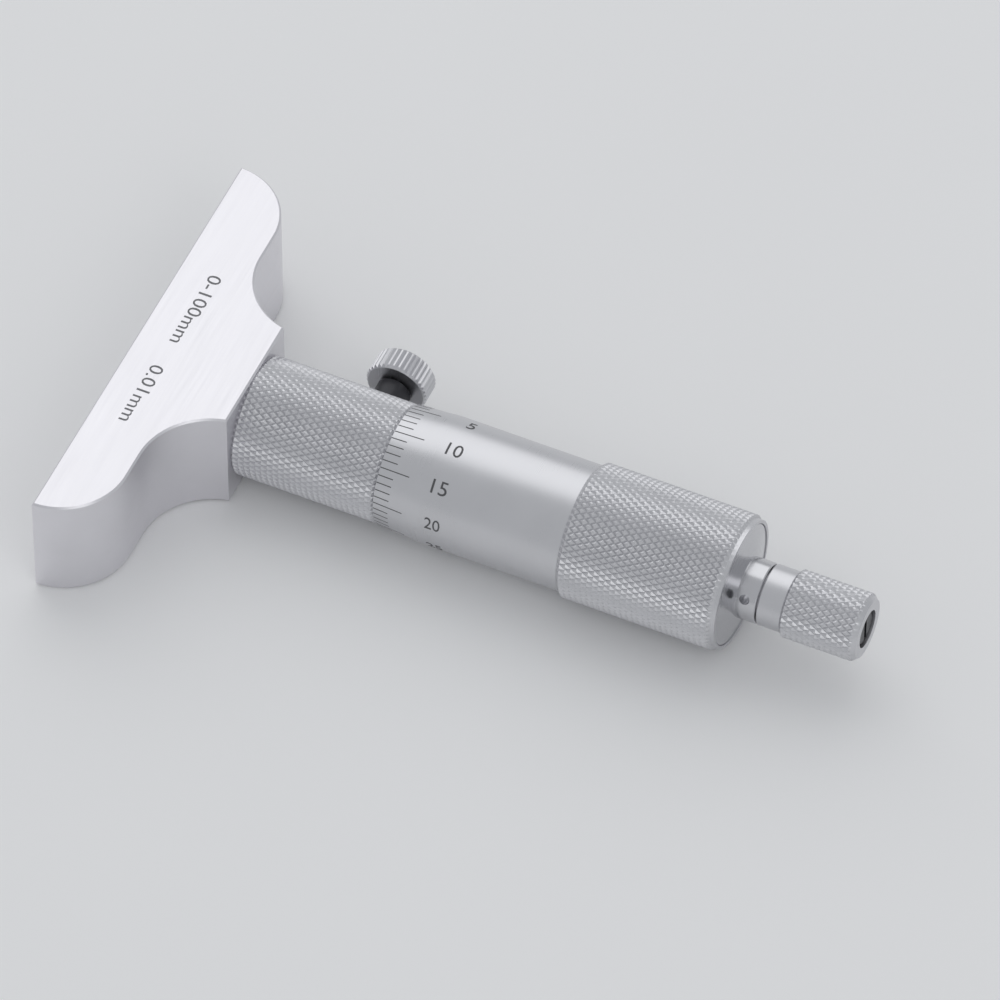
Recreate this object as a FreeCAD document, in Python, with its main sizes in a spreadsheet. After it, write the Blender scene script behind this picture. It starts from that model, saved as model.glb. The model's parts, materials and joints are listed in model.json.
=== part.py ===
"""Depth micrometer with interchangeable rods, lying on its back.

+X runs along the spindle from the measuring face to the ratchet knob, +Y points
to the locking screw and +Z out of the inscribed face. The origin is the centre
of the measuring face. The spindle is fully down, so the thimble meets the collar.
"""

import FreeCAD, Part
import math
import os
import types

import Sketcher

DIMENSIONS = (
    # the base: a T with rounded ends and concave shoulders
    ("base_span", 63.5),
    ("base_thickness", 16.5),
    ("arm_height", 9.2),
    ("shoulder_round", 9.8),
    ("shoulder_height", 17.0),
    ("shoulder_half", 8.8),
    ("edge_break", 0.25),
    ("rod_hole_radius", 2.05),
    ("rod_hole_depth", 3.2),
    ("nose_bay_radius", 4.2),
    # the fixed tubes: guide barrel, knurled collar, graduated sleeve, thread bush
    ("seat_start", 9.0),
    ("seat_radius", 6.3),
    ("tube_radius", 6.8),
    ("bore_radius", 4.03),
    ("collar_radius", 8.24),
    ("collar_end", 37.55),
    ("collar_chamfer", 0.35),
    ("sleeve_radius", 7.8),
    ("sleeve_end", 66.0),
    ("spanner_hole_station", 41.5),
    ("spanner_hole_radius", 0.6),
    ("bush_start", 46.0),
    ("bush_radius", 5.4),
    ("bush_taper_radius", 6.3),
    ("bush_end", 75.0),
    ("bush_end_radius", 5.94),
    ("thread_start", 59.5),
    ("thread_radius", 3.8),
    ("slot_start", 66.5),
    ("slot_width", 0.7),
    ("nut_start", 67.5),
    ("nut_start_radius", 6.24),
    ("nut_end", 73.5),
    ("nut_end_radius", 6.0),
    ("nut_radius", 7.3),
    ("nut_notch", 1.2),
    # the spindle, with the socket that holds a rod
    ("spindle_radius", 4.0),
    ("nose", 4.0),
    ("socket_end", 16.7),
    ("socket_radius", 2.03),
    ("clip_start", 6.6),
    ("clip_end", 7.6),
    ("clip_radius", 2.5),
    ("clip_bore_radius", 1.9),
    ("clip_gap", 1.2),
    ("plain_end", 34.0),
    ("relief_end", 35.5),
    ("relief_radius", 3.45),
    ("screw_end", 77.0),
    ("screw_radius", 3.72),
    ("cone_start", 78.6),
    ("cone_start_radius", 3.3),
    ("cone_end", 84.2),
    ("cone_end_radius", 2.95),
    ("tail_hole_start", 79.0),
    ("tail_hole_radius", 1.53),
    # the thimble
    ("thimble_front", 37.65),
    ("thimble_front_radius", 8.3),
    ("thimble_bore_radius", 7.9),
    ("scale_end", 43.7),
    ("smooth_radius", 8.7),
    ("smooth_end", 63.9),
    ("knurl_start", 64.5),
    ("knurl_radius", 9.3),
    ("knurl_end", 85.4),
    ("land_start", 85.83),
    ("land_radius", 8.87),
    ("thimble_rear", 86.4),
    ("recess_radius", 8.4),
    ("recess_start", 84.6),
    # the ratchet stem, which clamps the thimble to the spindle
    ("stem_shank_radius", 1.5),
    ("stem_shank_start", 79.5),
    ("flange_edge", 86.3),
    ("stem_start", 87.2),
    ("stem_radius", 4.19),
    ("stem_end", 90.0),
    ("stem_chamfer", 0.15),
    ("pin_hole_station", 88.4),
    ("pin_hole_radius", 0.7),
    ("pin_hole_floor", 2.2),
    ("pin_hole_angle", 150.9),
    ("axle_radius", 1.6),
    ("axle_end", 102.65),
    # the ratchet: claw on the stem, disc in the knob, spring and end screw
    ("ratchet_radius", 3.3),
    ("claw_valley", 92.0),
    ("claw_tip", 92.45),
    ("disc_tip", 92.48),
    ("disc_valley", 92.93),
    ("disc_end", 94.8),
    ("disc_bore_radius", 1.65),
    ("key_reach", 3.75),
    ("key_width", 1.2),
    ("spring_coil_radius", 2.6),
    ("spring_wire_radius", 0.3),
    ("knob_front", 90.2),
    ("neck_end", 93.5),
    ("knob_knurl_start", 93.86),
    ("knob_radius", 4.65),
    ("knob_knurl_end", 103.4),
    ("knob_rear", 104.2),
    ("knob_rear_radius", 4.0),
    ("knob_bore_radius", 3.4),
    ("knob_floor", 101.0),
    ("keyway_reach", 3.8),
    ("keyway_width", 1.3),
    ("screw_recess", 102.6),
    ("screw_recess_radius", 2.6),
    ("screw_head_radius", 2.4),
    ("screw_head_end", 103.9),
    ("screw_shank_radius", 0.9),
    ("screw_shank_start", 98.0),
    # the spindle lock, across the collar
    ("lock_station", 31.8),
    ("lock_seat", 5.0),
    ("lock_seat_radius", 2.4),
    ("lock_bush_end", 11.3),
    ("lock_bore_radius", 1.5),
    ("lock_pad_start", 4.08),
    ("lock_pad_radius", 1.3),
    ("lock_pad_end", 6.2),
    ("lock_screw_start", 6.22),
    ("lock_screw_radius", 1.45),
    ("lock_head_start", 11.45),
    ("lock_head_end", 15.1),
    ("lock_head_radius", 4.32),
    ("lock_head_chamfer", 0.35),
    ("serration_depth", 0.28),
    ("serration_width", 0.56),
)
RATCHET_TEETH = 12
SERRATIONS = 36
BUSH_SLOTS = 3
NUT_NOTCHES = 4
SPRING_TURNS = 4
WIRE_SIDES = 6

doc = FreeCAD.newDocument("DepthMicrometer")
sheet = doc.addObject("Spreadsheet::Sheet", "Dims")


class Size:
    """A length, with the spreadsheet expression that gives it."""

    def __init__(self, value, text):
        self.value = value
        self.text = text

    def __add__(self, other):
        other = as_size(other)
        return Size(self.value + other.value, f"({self.text} + {other.text})")

    def __sub__(self, other):
        other = as_size(other)
        return Size(self.value - other.value, f"({self.text} - {other.text})")

    def __mul__(self, factor):
        return Size(self.value * factor, f"({self.text} * {factor})")


def as_size(length):
    return length if isinstance(length, Size) else Size(float(length), str(length))


def fill_sheet():
    """Write the driving dimensions to the sheet and return them by name."""
    sizes = {}
    for row, (name, value) in enumerate(DIMENSIONS, start=1):
        sheet.set(f"A{row}", name)
        sheet.set(f"B{row}", str(value))
        sheet.setAlias(f"B{row}", name)
        sizes[name] = Size(value, f"Dims.{name}")
    doc.recompute()
    return types.SimpleNamespace(**sizes)


D = fill_sheet()
NONE = as_size(0.0)


def new_body(name):
    body = doc.addObject("PartDesign::Body", name)
    body.Label = name
    return body


def new_sketch(body, role, name, offset=NONE):
    """A sketch on one of the body's own planes, moved along the plane's normal."""
    sketch = body.newObject("Sketcher::SketchObject", f"{body.Name}_{name}")
    plane = next(f for f in body.Origin.OriginFeatures if f.Role == role)
    sketch.AttachmentSupport = [(plane, "")]
    sketch.MapMode = "FlatFace"
    if offset.value:
        sketch.setExpression(".AttachmentOffset.Base.z", offset.text)
    return sketch


def pin_point(sketch, geometry, end, across, up):
    """Fix one end of an edge at a place given by two sizes."""
    for kind, size, axis in (("DistanceX", across, -2), ("DistanceY", up, -1)):
        if size.value:
            index = sketch.addConstraint(Sketcher.Constraint(kind, geometry, end, size.value))
            sketch.setExpression(f"Constraints[{index}]", size.text)
        else:
            sketch.addConstraint(Sketcher.Constraint("PointOnObject", geometry, end, axis))


def draw_outline(sketch, points):
    """A closed outline of straight edges through points given by sizes."""
    corners = [(as_size(across), as_size(up)) for across, up in points]
    vectors = [FreeCAD.Vector(across.value, up.value, 0) for across, up in corners]
    count = len(vectors)
    edges = [Part.LineSegment(vectors[i], vectors[(i + 1) % count]) for i in range(count)]
    sketch.addGeometry(edges, False)
    joins = [Sketcher.Constraint("Coincident", i, 2, (i + 1) % count, 1) for i in range(count)]
    sketch.addConstraint(joins)
    for i, (across, up) in enumerate(corners):
        pin_point(sketch, i, 1, across, up)


def draw_circle(sketch, across, up, radius):
    centre = FreeCAD.Vector(across.value, up.value, 0)
    circle = sketch.addGeometry(Part.Circle(centre, FreeCAD.Vector(0, 0, 1), radius.value), False)
    pin_point(sketch, circle, 3, across, up)
    index = sketch.addConstraint(Sketcher.Constraint("Radius", circle, radius.value))
    sketch.setExpression(f"Constraints[{index}]", radius.text)


def add_feature(body, kind, name, sketch, **settings):
    """Add a sketched feature and make sure that it changes the body."""
    doc.recompute()
    before = body.Shape.Volume if body.Tip else 0.0
    feature = body.newObject(f"PartDesign::{kind}", f"{body.Name}_{name}")
    feature.Profile = sketch
    for key, value in settings.items():
        setattr(feature, key, value)
    sketch.Visibility = False
    body.Tip = feature
    doc.recompute()
    if abs(body.Shape.Volume - before) < 1e-6:
        raise RuntimeError(f"{feature.Name} changes nothing")
    return feature


def revolve(body, name, outline, kind="Revolution"):
    """Turn an outline of (station, radius) points about the X axis."""
    sketch = new_sketch(body, "XZ_Plane", f"{name}_sketch")
    draw_outline(sketch, outline)
    return add_feature(body, kind, name, sketch, ReferenceAxis=(sketch, ["H_Axis"]), Angle=360)


def turned(name, outline):
    """A body turned about the X axis from an outline of (station, radius) points."""
    body = new_body(name)
    revolve(body, "turned", outline)
    return body


def drill(body, name, role, station, radius, start, length, outward):
    """A round hole across the axis, from a start plane off the axis."""
    offset = start if outward == (role == "XY_Plane") else start * -1
    sketch = new_sketch(body, role, f"{name}_sketch", offset)
    draw_circle(sketch, station, NONE, radius)
    hole = add_feature(
        body, "Pocket", name, sketch, Length=length.value, Reversed=outward == (role == "XY_Plane")
    )
    hole.setExpression("Length", length.text)
    return hole


def cut_upward(body, name, outline, length):
    """Cut an outline in the XY plane from the axis up along +Z."""
    sketch = new_sketch(body, "XY_Plane", f"{name}_sketch")
    draw_outline(sketch, outline)
    pocket = add_feature(body, "Pocket", name, sketch, Length=length.value, Reversed=True)
    pocket.setExpression("Length", length.text)
    return pocket


def repeat_round(body, feature, count):
    """Repeat a feature evenly about the X axis."""
    pattern = body.newObject("PartDesign::PolarPattern", f"{feature.Name}_pattern")
    pattern.Originals = [feature]
    axis = next(f for f in body.Origin.OriginFeatures if f.Role == "X_Axis")
    pattern.Axis = (axis, [""])
    pattern.Angle = 360
    pattern.Occurrences = count
    before = body.Shape.Volume
    body.Tip = pattern
    doc.recompute()
    if abs(body.Shape.Volume - before) < 1e-6:
        raise RuntimeError(f"{pattern.Name} changes nothing")
    return pattern


def band(start, end, half_width):
    """A rectangle along the axis, for slots and keys."""
    low = half_width * -1
    return [(start, low), (end, low), (end, half_width), (start, half_width)]


def make_base():
    """Half of the T outline, padded both ways and mirrored, then bored through."""
    body = new_body("base")
    sketch = new_sketch(body, "XY_Plane", "outline")
    half = D.base_span.value / 2
    arm = D.arm_height.value
    round_out = D.shoulder_round.value
    top = D.shoulder_height.value
    side = D.shoulder_half.value
    rise = arm + round_out - top
    hollow_centre = FreeCAD.Vector(arm + round_out, side + math.sqrt(round_out**2 - rise**2), 0)
    end_centre = FreeCAD.Vector(0, half - arm, 0)
    normal = FreeCAD.Vector(0, 0, 1)
    origin = FreeCAD.Vector(0, 0, 0)
    tip = FreeCAD.Vector(0, half, 0)
    arm_start = FreeCAD.Vector(arm, half - arm, 0)
    arm_end = FreeCAD.Vector(arm, hollow_centre.y, 0)
    corner = FreeCAD.Vector(top, side, 0)
    centre_top = FreeCAD.Vector(top, 0, 0)
    corner_angle = math.atan2(corner.y - hollow_centre.y, corner.x - hollow_centre.x)
    end_arc = Part.ArcOfCircle(Part.Circle(end_centre, normal, arm), 0, math.pi / 2)
    hollow_arc = Part.ArcOfCircle(
        Part.Circle(hollow_centre, normal, round_out), math.pi, corner_angle % (2 * math.pi)
    )
    sketch.addGeometry(
        [
            Part.LineSegment(origin, tip),
            end_arc,
            Part.LineSegment(arm_start, arm_end),
            hollow_arc,
            Part.LineSegment(corner, centre_top),
            Part.LineSegment(centre_top, origin),
        ],
        False,
    )
    sketch.addConstraint(
        [
            Sketcher.Constraint("Coincident", 0, 2, 1, 2),
            Sketcher.Constraint("Tangent", 1, 1, 2, 1),
            Sketcher.Constraint("Tangent", 2, 2, 3, 1),
            Sketcher.Constraint("Coincident", 3, 2, 4, 1),
            Sketcher.Constraint("Coincident", 4, 2, 5, 1),
            Sketcher.Constraint("Coincident", 5, 2, 0, 1),
            Sketcher.Constraint("Vertical", 2),
        ]
    )
    pin_point(sketch, 0, 1, NONE, NONE)
    pin_point(sketch, 0, 2, NONE, D.base_span * 0.5)
    pin_point(sketch, 4, 1, D.shoulder_height, D.shoulder_half)
    pin_point(sketch, 4, 2, D.shoulder_height, NONE)
    for geometry, radius in ((1, D.arm_height), (3, D.shoulder_round)):
        index = sketch.addConstraint(Sketcher.Constraint("Radius", geometry, radius.value))
        sketch.setExpression(f"Constraints[{index}]", radius.text)
    index = sketch.addConstraint(Sketcher.Constraint("DistanceX", 2, 1, arm))
    sketch.setExpression(f"Constraints[{index}]", D.arm_height.text)
    pad = add_feature(body, "Pad", "pad", sketch, Length=D.base_thickness.value, SideType="Symmetric")
    pad.setExpression("Length", D.base_thickness.text)
    mirror = body.newObject("PartDesign::Mirrored", "base_mirror")
    mirror.Originals = [pad]
    mirror.MirrorPlane = (next(f for f in body.Origin.OriginFeatures if f.Role == "XZ_Plane"), [""])
    body.Tip = mirror
    doc.recompute()
    rims = [
        f"Edge{i}"
        for i, edge in enumerate(mirror.Shape.Edges, start=1)
        if abs(abs(edge.CenterOfMass.z) - D.base_thickness.value / 2) < 1e-6
    ]
    chamfer = body.newObject("PartDesign::Chamfer", "base_edges")
    chamfer.Base = (mirror, rims)
    chamfer.setExpression("Size", D.edge_break.text)
    body.Tip = chamfer
    doc.recompute()
    revolve(
        body,
        "bores",
        [
            (NONE, NONE),
            (NONE, D.rod_hole_radius),
            (D.rod_hole_depth, D.rod_hole_radius),
            (D.rod_hole_depth, D.nose_bay_radius),
            (D.seat_start, D.nose_bay_radius),
            (D.seat_start, D.seat_radius),
            (D.shoulder_height, D.seat_radius),
            (D.shoulder_height, NONE),
        ],
        kind="Groove",
    )


def make_guide_barrel():
    """The fixed tube pressed into the base, bored for the spindle."""
    body = turned(
        "guide_barrel",
        [
            (D.seat_start, D.bore_radius),
            (D.bush_start, D.bore_radius),
            (D.bush_start, D.bush_radius),
            (D.sleeve_end, D.bush_radius),
            (D.sleeve_end, D.tube_radius),
            (D.shoulder_height, D.tube_radius),
            (D.shoulder_height, D.seat_radius),
            (D.seat_start, D.seat_radius),
        ],
    )
    wall = D.tube_radius + D.edge_break
    drill(body, "pad_hole", "XZ_Plane", D.lock_station, D.lock_bore_radius, NONE, wall, True)
    drill(body, "bush_seat", "XZ_Plane", D.lock_station, D.lock_seat_radius, D.lock_seat, wall, True)


def make_grip_collar():
    body = turned(
        "grip_collar",
        [
            (D.shoulder_height, D.tube_radius),
            (D.collar_end, D.tube_radius),
            (D.collar_end, D.collar_radius - D.collar_chamfer),
            (D.collar_end - D.collar_chamfer, D.collar_radius),
            (D.shoulder_height + D.collar_chamfer, D.collar_radius),
            (D.shoulder_height, D.collar_radius - D.collar_chamfer),
        ],
    )
    across = D.collar_radius + D.edge_break
    drill(body, "bush_hole", "XZ_Plane", D.lock_station, D.lock_seat_radius, NONE, across, True)


def make_sleeve():
    """The graduated sleeve, with the spanner hole that sets zero on its under side."""
    body = turned(
        "sleeve",
        [
            (D.collar_end, D.tube_radius),
            (D.sleeve_end, D.tube_radius),
            (D.sleeve_end, D.sleeve_radius),
            (D.collar_end, D.sleeve_radius),
        ],
    )
    across = D.sleeve_radius + D.edge_break
    drill(
        body, "hole", "XY_Plane", D.spanner_hole_station, D.spanner_hole_radius, NONE, across, False
    )


def make_thread_bush():
    """The split bush that carries the measuring thread, tapered for its nut."""
    body = turned(
        "thread_bush",
        [
            (D.bush_start, D.bore_radius),
            (D.thread_start, D.bore_radius),
            (D.thread_start, D.thread_radius),
            (D.bush_end, D.thread_radius),
            (D.bush_end, D.bush_end_radius),
            (D.sleeve_end, D.bush_taper_radius),
            (D.sleeve_end, D.bush_radius),
            (D.bush_start, D.bush_radius),
        ],
    )
    reach = D.bush_taper_radius + D.edge_break
    outline = band(D.slot_start, D.bush_end + D.edge_break, D.slot_width * 0.5)
    slot = cut_upward(body, "slot", outline, reach)
    repeat_round(body, slot, BUSH_SLOTS)


def make_adjusting_nut():
    """The nut that closes the split bush, notched for a spanner."""
    body = turned(
        "adjusting_nut",
        [
            (D.nut_start, D.nut_start_radius),
            (D.nut_end, D.nut_end_radius),
            (D.nut_end, D.nut_radius),
            (D.nut_start, D.nut_radius),
        ],
    )
    reach = D.nut_radius + D.edge_break
    outline = band(D.nut_end - D.nut_notch, D.nut_end + D.edge_break, D.nut_notch * 0.5)
    notch = cut_upward(body, "notch", outline, reach)
    repeat_round(body, notch, NUT_NOTCHES)


def make_spindle():
    """The moving spindle: rod socket, plain guide, screw and tapered tail."""
    turned(
        "spindle",
        [
            (D.nose, D.socket_radius + D.edge_break),
            (D.nose + D.edge_break, D.socket_radius),
            (D.clip_start, D.socket_radius),
            (D.clip_start, D.clip_radius),
            (D.clip_end, D.clip_radius),
            (D.clip_end, D.socket_radius),
            (D.socket_end, D.socket_radius),
            (D.socket_end + D.socket_radius * 0.6, NONE),
            (D.tail_hole_start, NONE),
            (D.tail_hole_start, D.tail_hole_radius),
            (D.cone_end, D.tail_hole_radius),
            (D.cone_end, D.cone_end_radius),
            (D.cone_start, D.cone_start_radius),
            (D.screw_end, D.cone_start_radius),
            (D.screw_end, D.screw_radius),
            (D.relief_end, D.screw_radius),
            (D.relief_end, D.relief_radius),
            (D.plain_end, D.relief_radius),
            (D.plain_end, D.spindle_radius),
            (D.nose + D.edge_break, D.spindle_radius),
            (D.nose, D.spindle_radius - D.edge_break),
        ],
    )


def make_rod_clip():
    """The split ring in the socket that snaps into a rod's groove."""
    body = turned(
        "rod_clip",
        [
            (D.clip_start, D.clip_bore_radius),
            (D.clip_end, D.clip_bore_radius),
            (D.clip_end, D.clip_radius),
            (D.clip_start, D.clip_radius),
        ],
    )
    margin = D.edge_break
    outline = band(D.clip_start - margin, D.clip_end + margin, D.clip_gap * 0.5)
    cut_upward(body, "gap", outline, D.clip_radius + margin)


def make_thimble():
    """The thimble: thin bevelled scale end, smooth barrel, knurled grip, rear web."""
    fit = D.bore_radius - D.spindle_radius
    turned(
        "thimble",
        [
            (D.thimble_front, D.thimble_bore_radius),
            (D.cone_start, D.thimble_bore_radius),
            (D.cone_start, D.cone_start_radius + fit),
            (D.cone_end, D.cone_end_radius + fit),
            (D.recess_start, D.cone_end_radius + fit),
            (D.recess_start, D.recess_radius),
            (D.thimble_rear, D.recess_radius),
            (D.thimble_rear, D.land_radius),
            (D.land_start, D.land_radius),
            (D.knurl_end, D.knurl_radius),
            (D.knurl_start, D.knurl_radius),
            (D.smooth_end, D.smooth_radius),
            (D.scale_end, D.smooth_radius),
            (D.thimble_front, D.thimble_front_radius),
        ],
    )


def make_ratchet_stem():
    """The stem: a domed flange seated in the thimble, a spanner ring and an axle."""
    body = turned(
        "ratchet_stem",
        [
            (D.stem_shank_start, NONE),
            (D.stem_shank_start, D.stem_shank_radius),
            (D.recess_start, D.stem_shank_radius),
            (D.recess_start, D.recess_radius),
            (D.flange_edge - D.stem_chamfer, D.recess_radius),
            (D.flange_edge, D.recess_radius - D.stem_chamfer),
            (D.stem_start, D.stem_radius),
            (D.stem_end - D.stem_chamfer, D.stem_radius),
            (D.stem_end, D.stem_radius - D.stem_chamfer),
            (D.stem_end, D.axle_radius),
            (D.axle_end, D.axle_radius),
            (D.axle_end, D.screw_shank_radius),
            (D.screw_shank_start, D.screw_shank_radius),
            (D.screw_shank_start, NONE),
        ],
    )
    depth = D.stem_radius - D.pin_hole_floor + D.edge_break
    drill(
        body, "pin_hole", "XY_Plane", D.pin_hole_station, D.pin_hole_radius, D.pin_hole_floor, depth, True
    )
    body.Placement.Rotation = FreeCAD.Rotation(FreeCAD.Vector(1, 0, 0), D.pin_hole_angle.value - 90)


def saw_gap(tip, valley, rises):
    """One gap of a face ratchet: a slope from the tip to the valley and a steep flank."""
    pitch = D.ratchet_radius * (2 * math.pi / RATCHET_TEETH)
    flank = NONE if rises else pitch
    return [(tip, NONE), (tip, pitch), (valley, flank)]


def make_ratchet_claw():
    """The claw ring on the stem's axle, with saw teeth on its rear face."""
    body = turned(
        "ratchet_claw",
        [
            (D.stem_end, D.axle_radius),
            (D.claw_tip, D.axle_radius),
            (D.claw_tip, D.ratchet_radius),
            (D.stem_end, D.ratchet_radius),
        ],
    )
    gap = cut_upward(body, "tooth_gap", saw_gap(D.claw_tip, D.claw_valley, False), D.key_reach)
    repeat_round(body, gap, RATCHET_TEETH)


def make_ratchet_disc():
    """The sliding disc that the knob carries, riding on the claw's tips."""
    body = turned(
        "ratchet_disc",
        [
            (D.disc_tip, D.disc_bore_radius),
            (D.disc_end, D.disc_bore_radius),
            (D.disc_end, D.ratchet_radius),
            (D.disc_tip, D.ratchet_radius),
        ],
    )
    gap = cut_upward(body, "tooth_gap", saw_gap(D.disc_tip, D.disc_valley, True), D.key_reach)
    repeat_round(body, gap, RATCHET_TEETH)
    start = (D.disc_bore_radius + D.ratchet_radius) * 0.5
    sketch = new_sketch(body, "XY_Plane", "key_sketch", start)
    draw_outline(sketch, band(D.disc_valley, D.disc_end, D.key_width * 0.5))
    height = D.key_reach - start
    key = add_feature(body, "Pad", "key", sketch, Length=height.value)
    key.setExpression("Length", height.text)
    repeat_round(body, key, 2)


def make_ratchet_spring():
    """The coil spring between the disc and the knob's floor, its wire a hexagon to stay light."""
    body = new_body("ratchet_spring")
    sketch = new_sketch(body, "XZ_Plane", "wire")
    wire = D.spring_wire_radius
    corners = [math.tau * i / WIRE_SIDES for i in range(WIRE_SIDES)]
    draw_outline(
        sketch,
        [
            (D.disc_end + wire + wire * math.cos(a), D.spring_coil_radius + wire * math.sin(a))
            for a in corners
        ],
    )
    height = D.knob_floor - D.disc_end - D.spring_wire_radius * 2
    coil = body.newObject("PartDesign::AdditiveHelix", "ratchet_spring_coil")
    coil.Profile = sketch
    coil.ReferenceAxis = (sketch, ["H_Axis"])
    coil.Mode = "height-turns-angle"
    coil.Turns = SPRING_TURNS
    coil.Height = height.value
    coil.setExpression("Height", height.text)
    sketch.Visibility = False
    doc.recompute()


def make_ratchet_knob():
    """The knob's shell: plain neck, knurled grip, keyed bore and screw recess."""
    body = turned(
        "ratchet_knob",
        [
            (D.knob_front, D.knob_bore_radius),
            (D.knob_floor, D.knob_bore_radius),
            (D.knob_floor, D.disc_bore_radius),
            (D.screw_recess, D.disc_bore_radius),
            (D.screw_recess, D.screw_recess_radius),
            (D.knob_rear, D.screw_recess_radius),
            (D.knob_rear, D.knob_rear_radius),
            (D.knob_knurl_end, D.knob_radius),
            (D.knob_knurl_start, D.knob_radius),
            (D.neck_end, D.stem_radius),
            (D.knob_front + D.stem_chamfer, D.stem_radius),
            (D.knob_front, D.stem_radius - D.stem_chamfer),
        ],
    )
    outline = band(D.claw_valley, D.knob_floor, D.keyway_width * 0.5)
    keyway = cut_upward(body, "keyway", outline, D.keyway_reach)
    repeat_round(body, keyway, 2)


def make_ratchet_screw():
    """The slotted screw that holds the knob on its axle."""
    body = turned(
        "ratchet_screw",
        [
            (D.screw_shank_start, NONE),
            (D.screw_head_end, NONE),
            (D.screw_head_end, D.screw_head_radius - D.edge_break),
            (D.screw_head_end - D.edge_break, D.screw_head_radius),
            (D.axle_end, D.screw_head_radius),
            (D.axle_end, D.screw_shank_radius),
            (D.screw_shank_start, D.screw_shank_radius),
        ],
    )
    depth = D.slot_width
    outline = band(D.screw_head_end - depth, D.screw_head_end + D.edge_break, D.slot_width * 0.5)
    slot = cut_upward(body, "slot", outline, D.screw_head_radius + D.edge_break)
    repeat_round(body, slot, 2)


def stand_across(body):
    """Turn a body made along X so that it stands along +Y at the lock's station."""
    body.Placement = FreeCAD.Placement(
        FreeCAD.Vector(D.lock_station.value, 0, 0), FreeCAD.Rotation(FreeCAD.Vector(0, 0, 1), 90)
    )
    body.setExpression(".Placement.Base.x", D.lock_station.text)


def make_lock_bush():
    """The threaded bush through the collar into the guide barrel."""
    body = turned(
        "lock_bush",
        [
            (D.lock_seat, D.lock_bore_radius),
            (D.lock_bush_end, D.lock_bore_radius),
            (D.lock_bush_end, D.lock_seat_radius - D.edge_break),
            (D.lock_bush_end - D.edge_break, D.lock_seat_radius),
            (D.lock_seat, D.lock_seat_radius),
        ],
    )
    stand_across(body)


def make_lock_pad():
    """The brass pad that the locking screw presses on the spindle."""
    body = turned(
        "lock_pad",
        [
            (D.lock_pad_start, NONE),
            (D.lock_pad_end, NONE),
            (D.lock_pad_end, D.lock_pad_radius),
            (D.lock_pad_start, D.lock_pad_radius),
        ],
    )
    stand_across(body)


def make_lock_screw():
    """The locking screw, with a straight-serrated disc head."""
    body = turned(
        "lock_screw",
        [
            (D.lock_screw_start, NONE),
            (D.lock_head_end, NONE),
            (D.lock_head_end, D.lock_head_radius - D.lock_head_chamfer),
            (D.lock_head_end - D.lock_head_chamfer, D.lock_head_radius),
            (D.lock_head_start + D.lock_head_chamfer, D.lock_head_radius),
            (D.lock_head_start, D.lock_head_radius - D.lock_head_chamfer),
            (D.lock_head_start, D.lock_screw_radius),
            (D.lock_screw_start, D.lock_screw_radius),
        ],
    )
    sketch = new_sketch(body, "YZ_Plane", "groove_sketch", D.lock_head_start)
    half = D.serration_width * 0.5
    rim = D.lock_head_radius + D.serration_depth
    floor = D.lock_head_radius - D.serration_depth
    draw_outline(sketch, [(half * -2, rim), (NONE, floor), (half * 2, rim)])
    thickness = D.lock_head_end - D.lock_head_start
    groove = add_feature(body, "Pocket", "groove", sketch, Length=thickness.value, Reversed=True)
    groove.setExpression("Length", thickness.text)
    repeat_round(body, groove, SERRATIONS)
    stand_across(body)


MAKERS = (
    make_base,
    make_guide_barrel,
    make_grip_collar,
    make_sleeve,
    make_thread_bush,
    make_adjusting_nut,
    make_spindle,
    make_rod_clip,
    make_thimble,
    make_ratchet_stem,
    make_ratchet_claw,
    make_ratchet_disc,
    make_ratchet_spring,
    make_ratchet_knob,
    make_ratchet_screw,
    make_lock_bush,
    make_lock_pad,
    make_lock_screw,
)
for make in MAKERS:
    make()
doc.recompute()

for item in doc.Objects:
    if "Invalid" in item.State or "Error" in item.State:
        raise RuntimeError(f"{item.Name} failed: {item.State}")
bodies = [item for item in doc.Objects if item.TypeId == "PartDesign::Body"]
for body in bodies:
    if body.Shape.isNull() or not body.Shape.isValid() or len(body.Shape.Solids) != 1:
        raise RuntimeError(f"{body.Label} is not one valid solid")

os.makedirs("parts", exist_ok=True)
for body in bodies:
    body.Shape.exportStep(f"parts/{body.Label}.step")
    print(f"{body.Label}: {body.Shape.Volume:.1f} mm3")
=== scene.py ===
# %% [markdown]
# # A depth micrometer, dressed for its portrait
#
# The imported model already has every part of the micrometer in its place: the base, the guide barrel, the
# thimble, the ratchet stop and the lock. This lesson adds what a plain solid lacks: diamond knurls, engraved
# scales and figures, and the finish of ground, turned and plated steel. Everything is in metres, with the
# micrometer's own axis along X, so a new piece goes exactly where the solid says.

import json
import math

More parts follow.
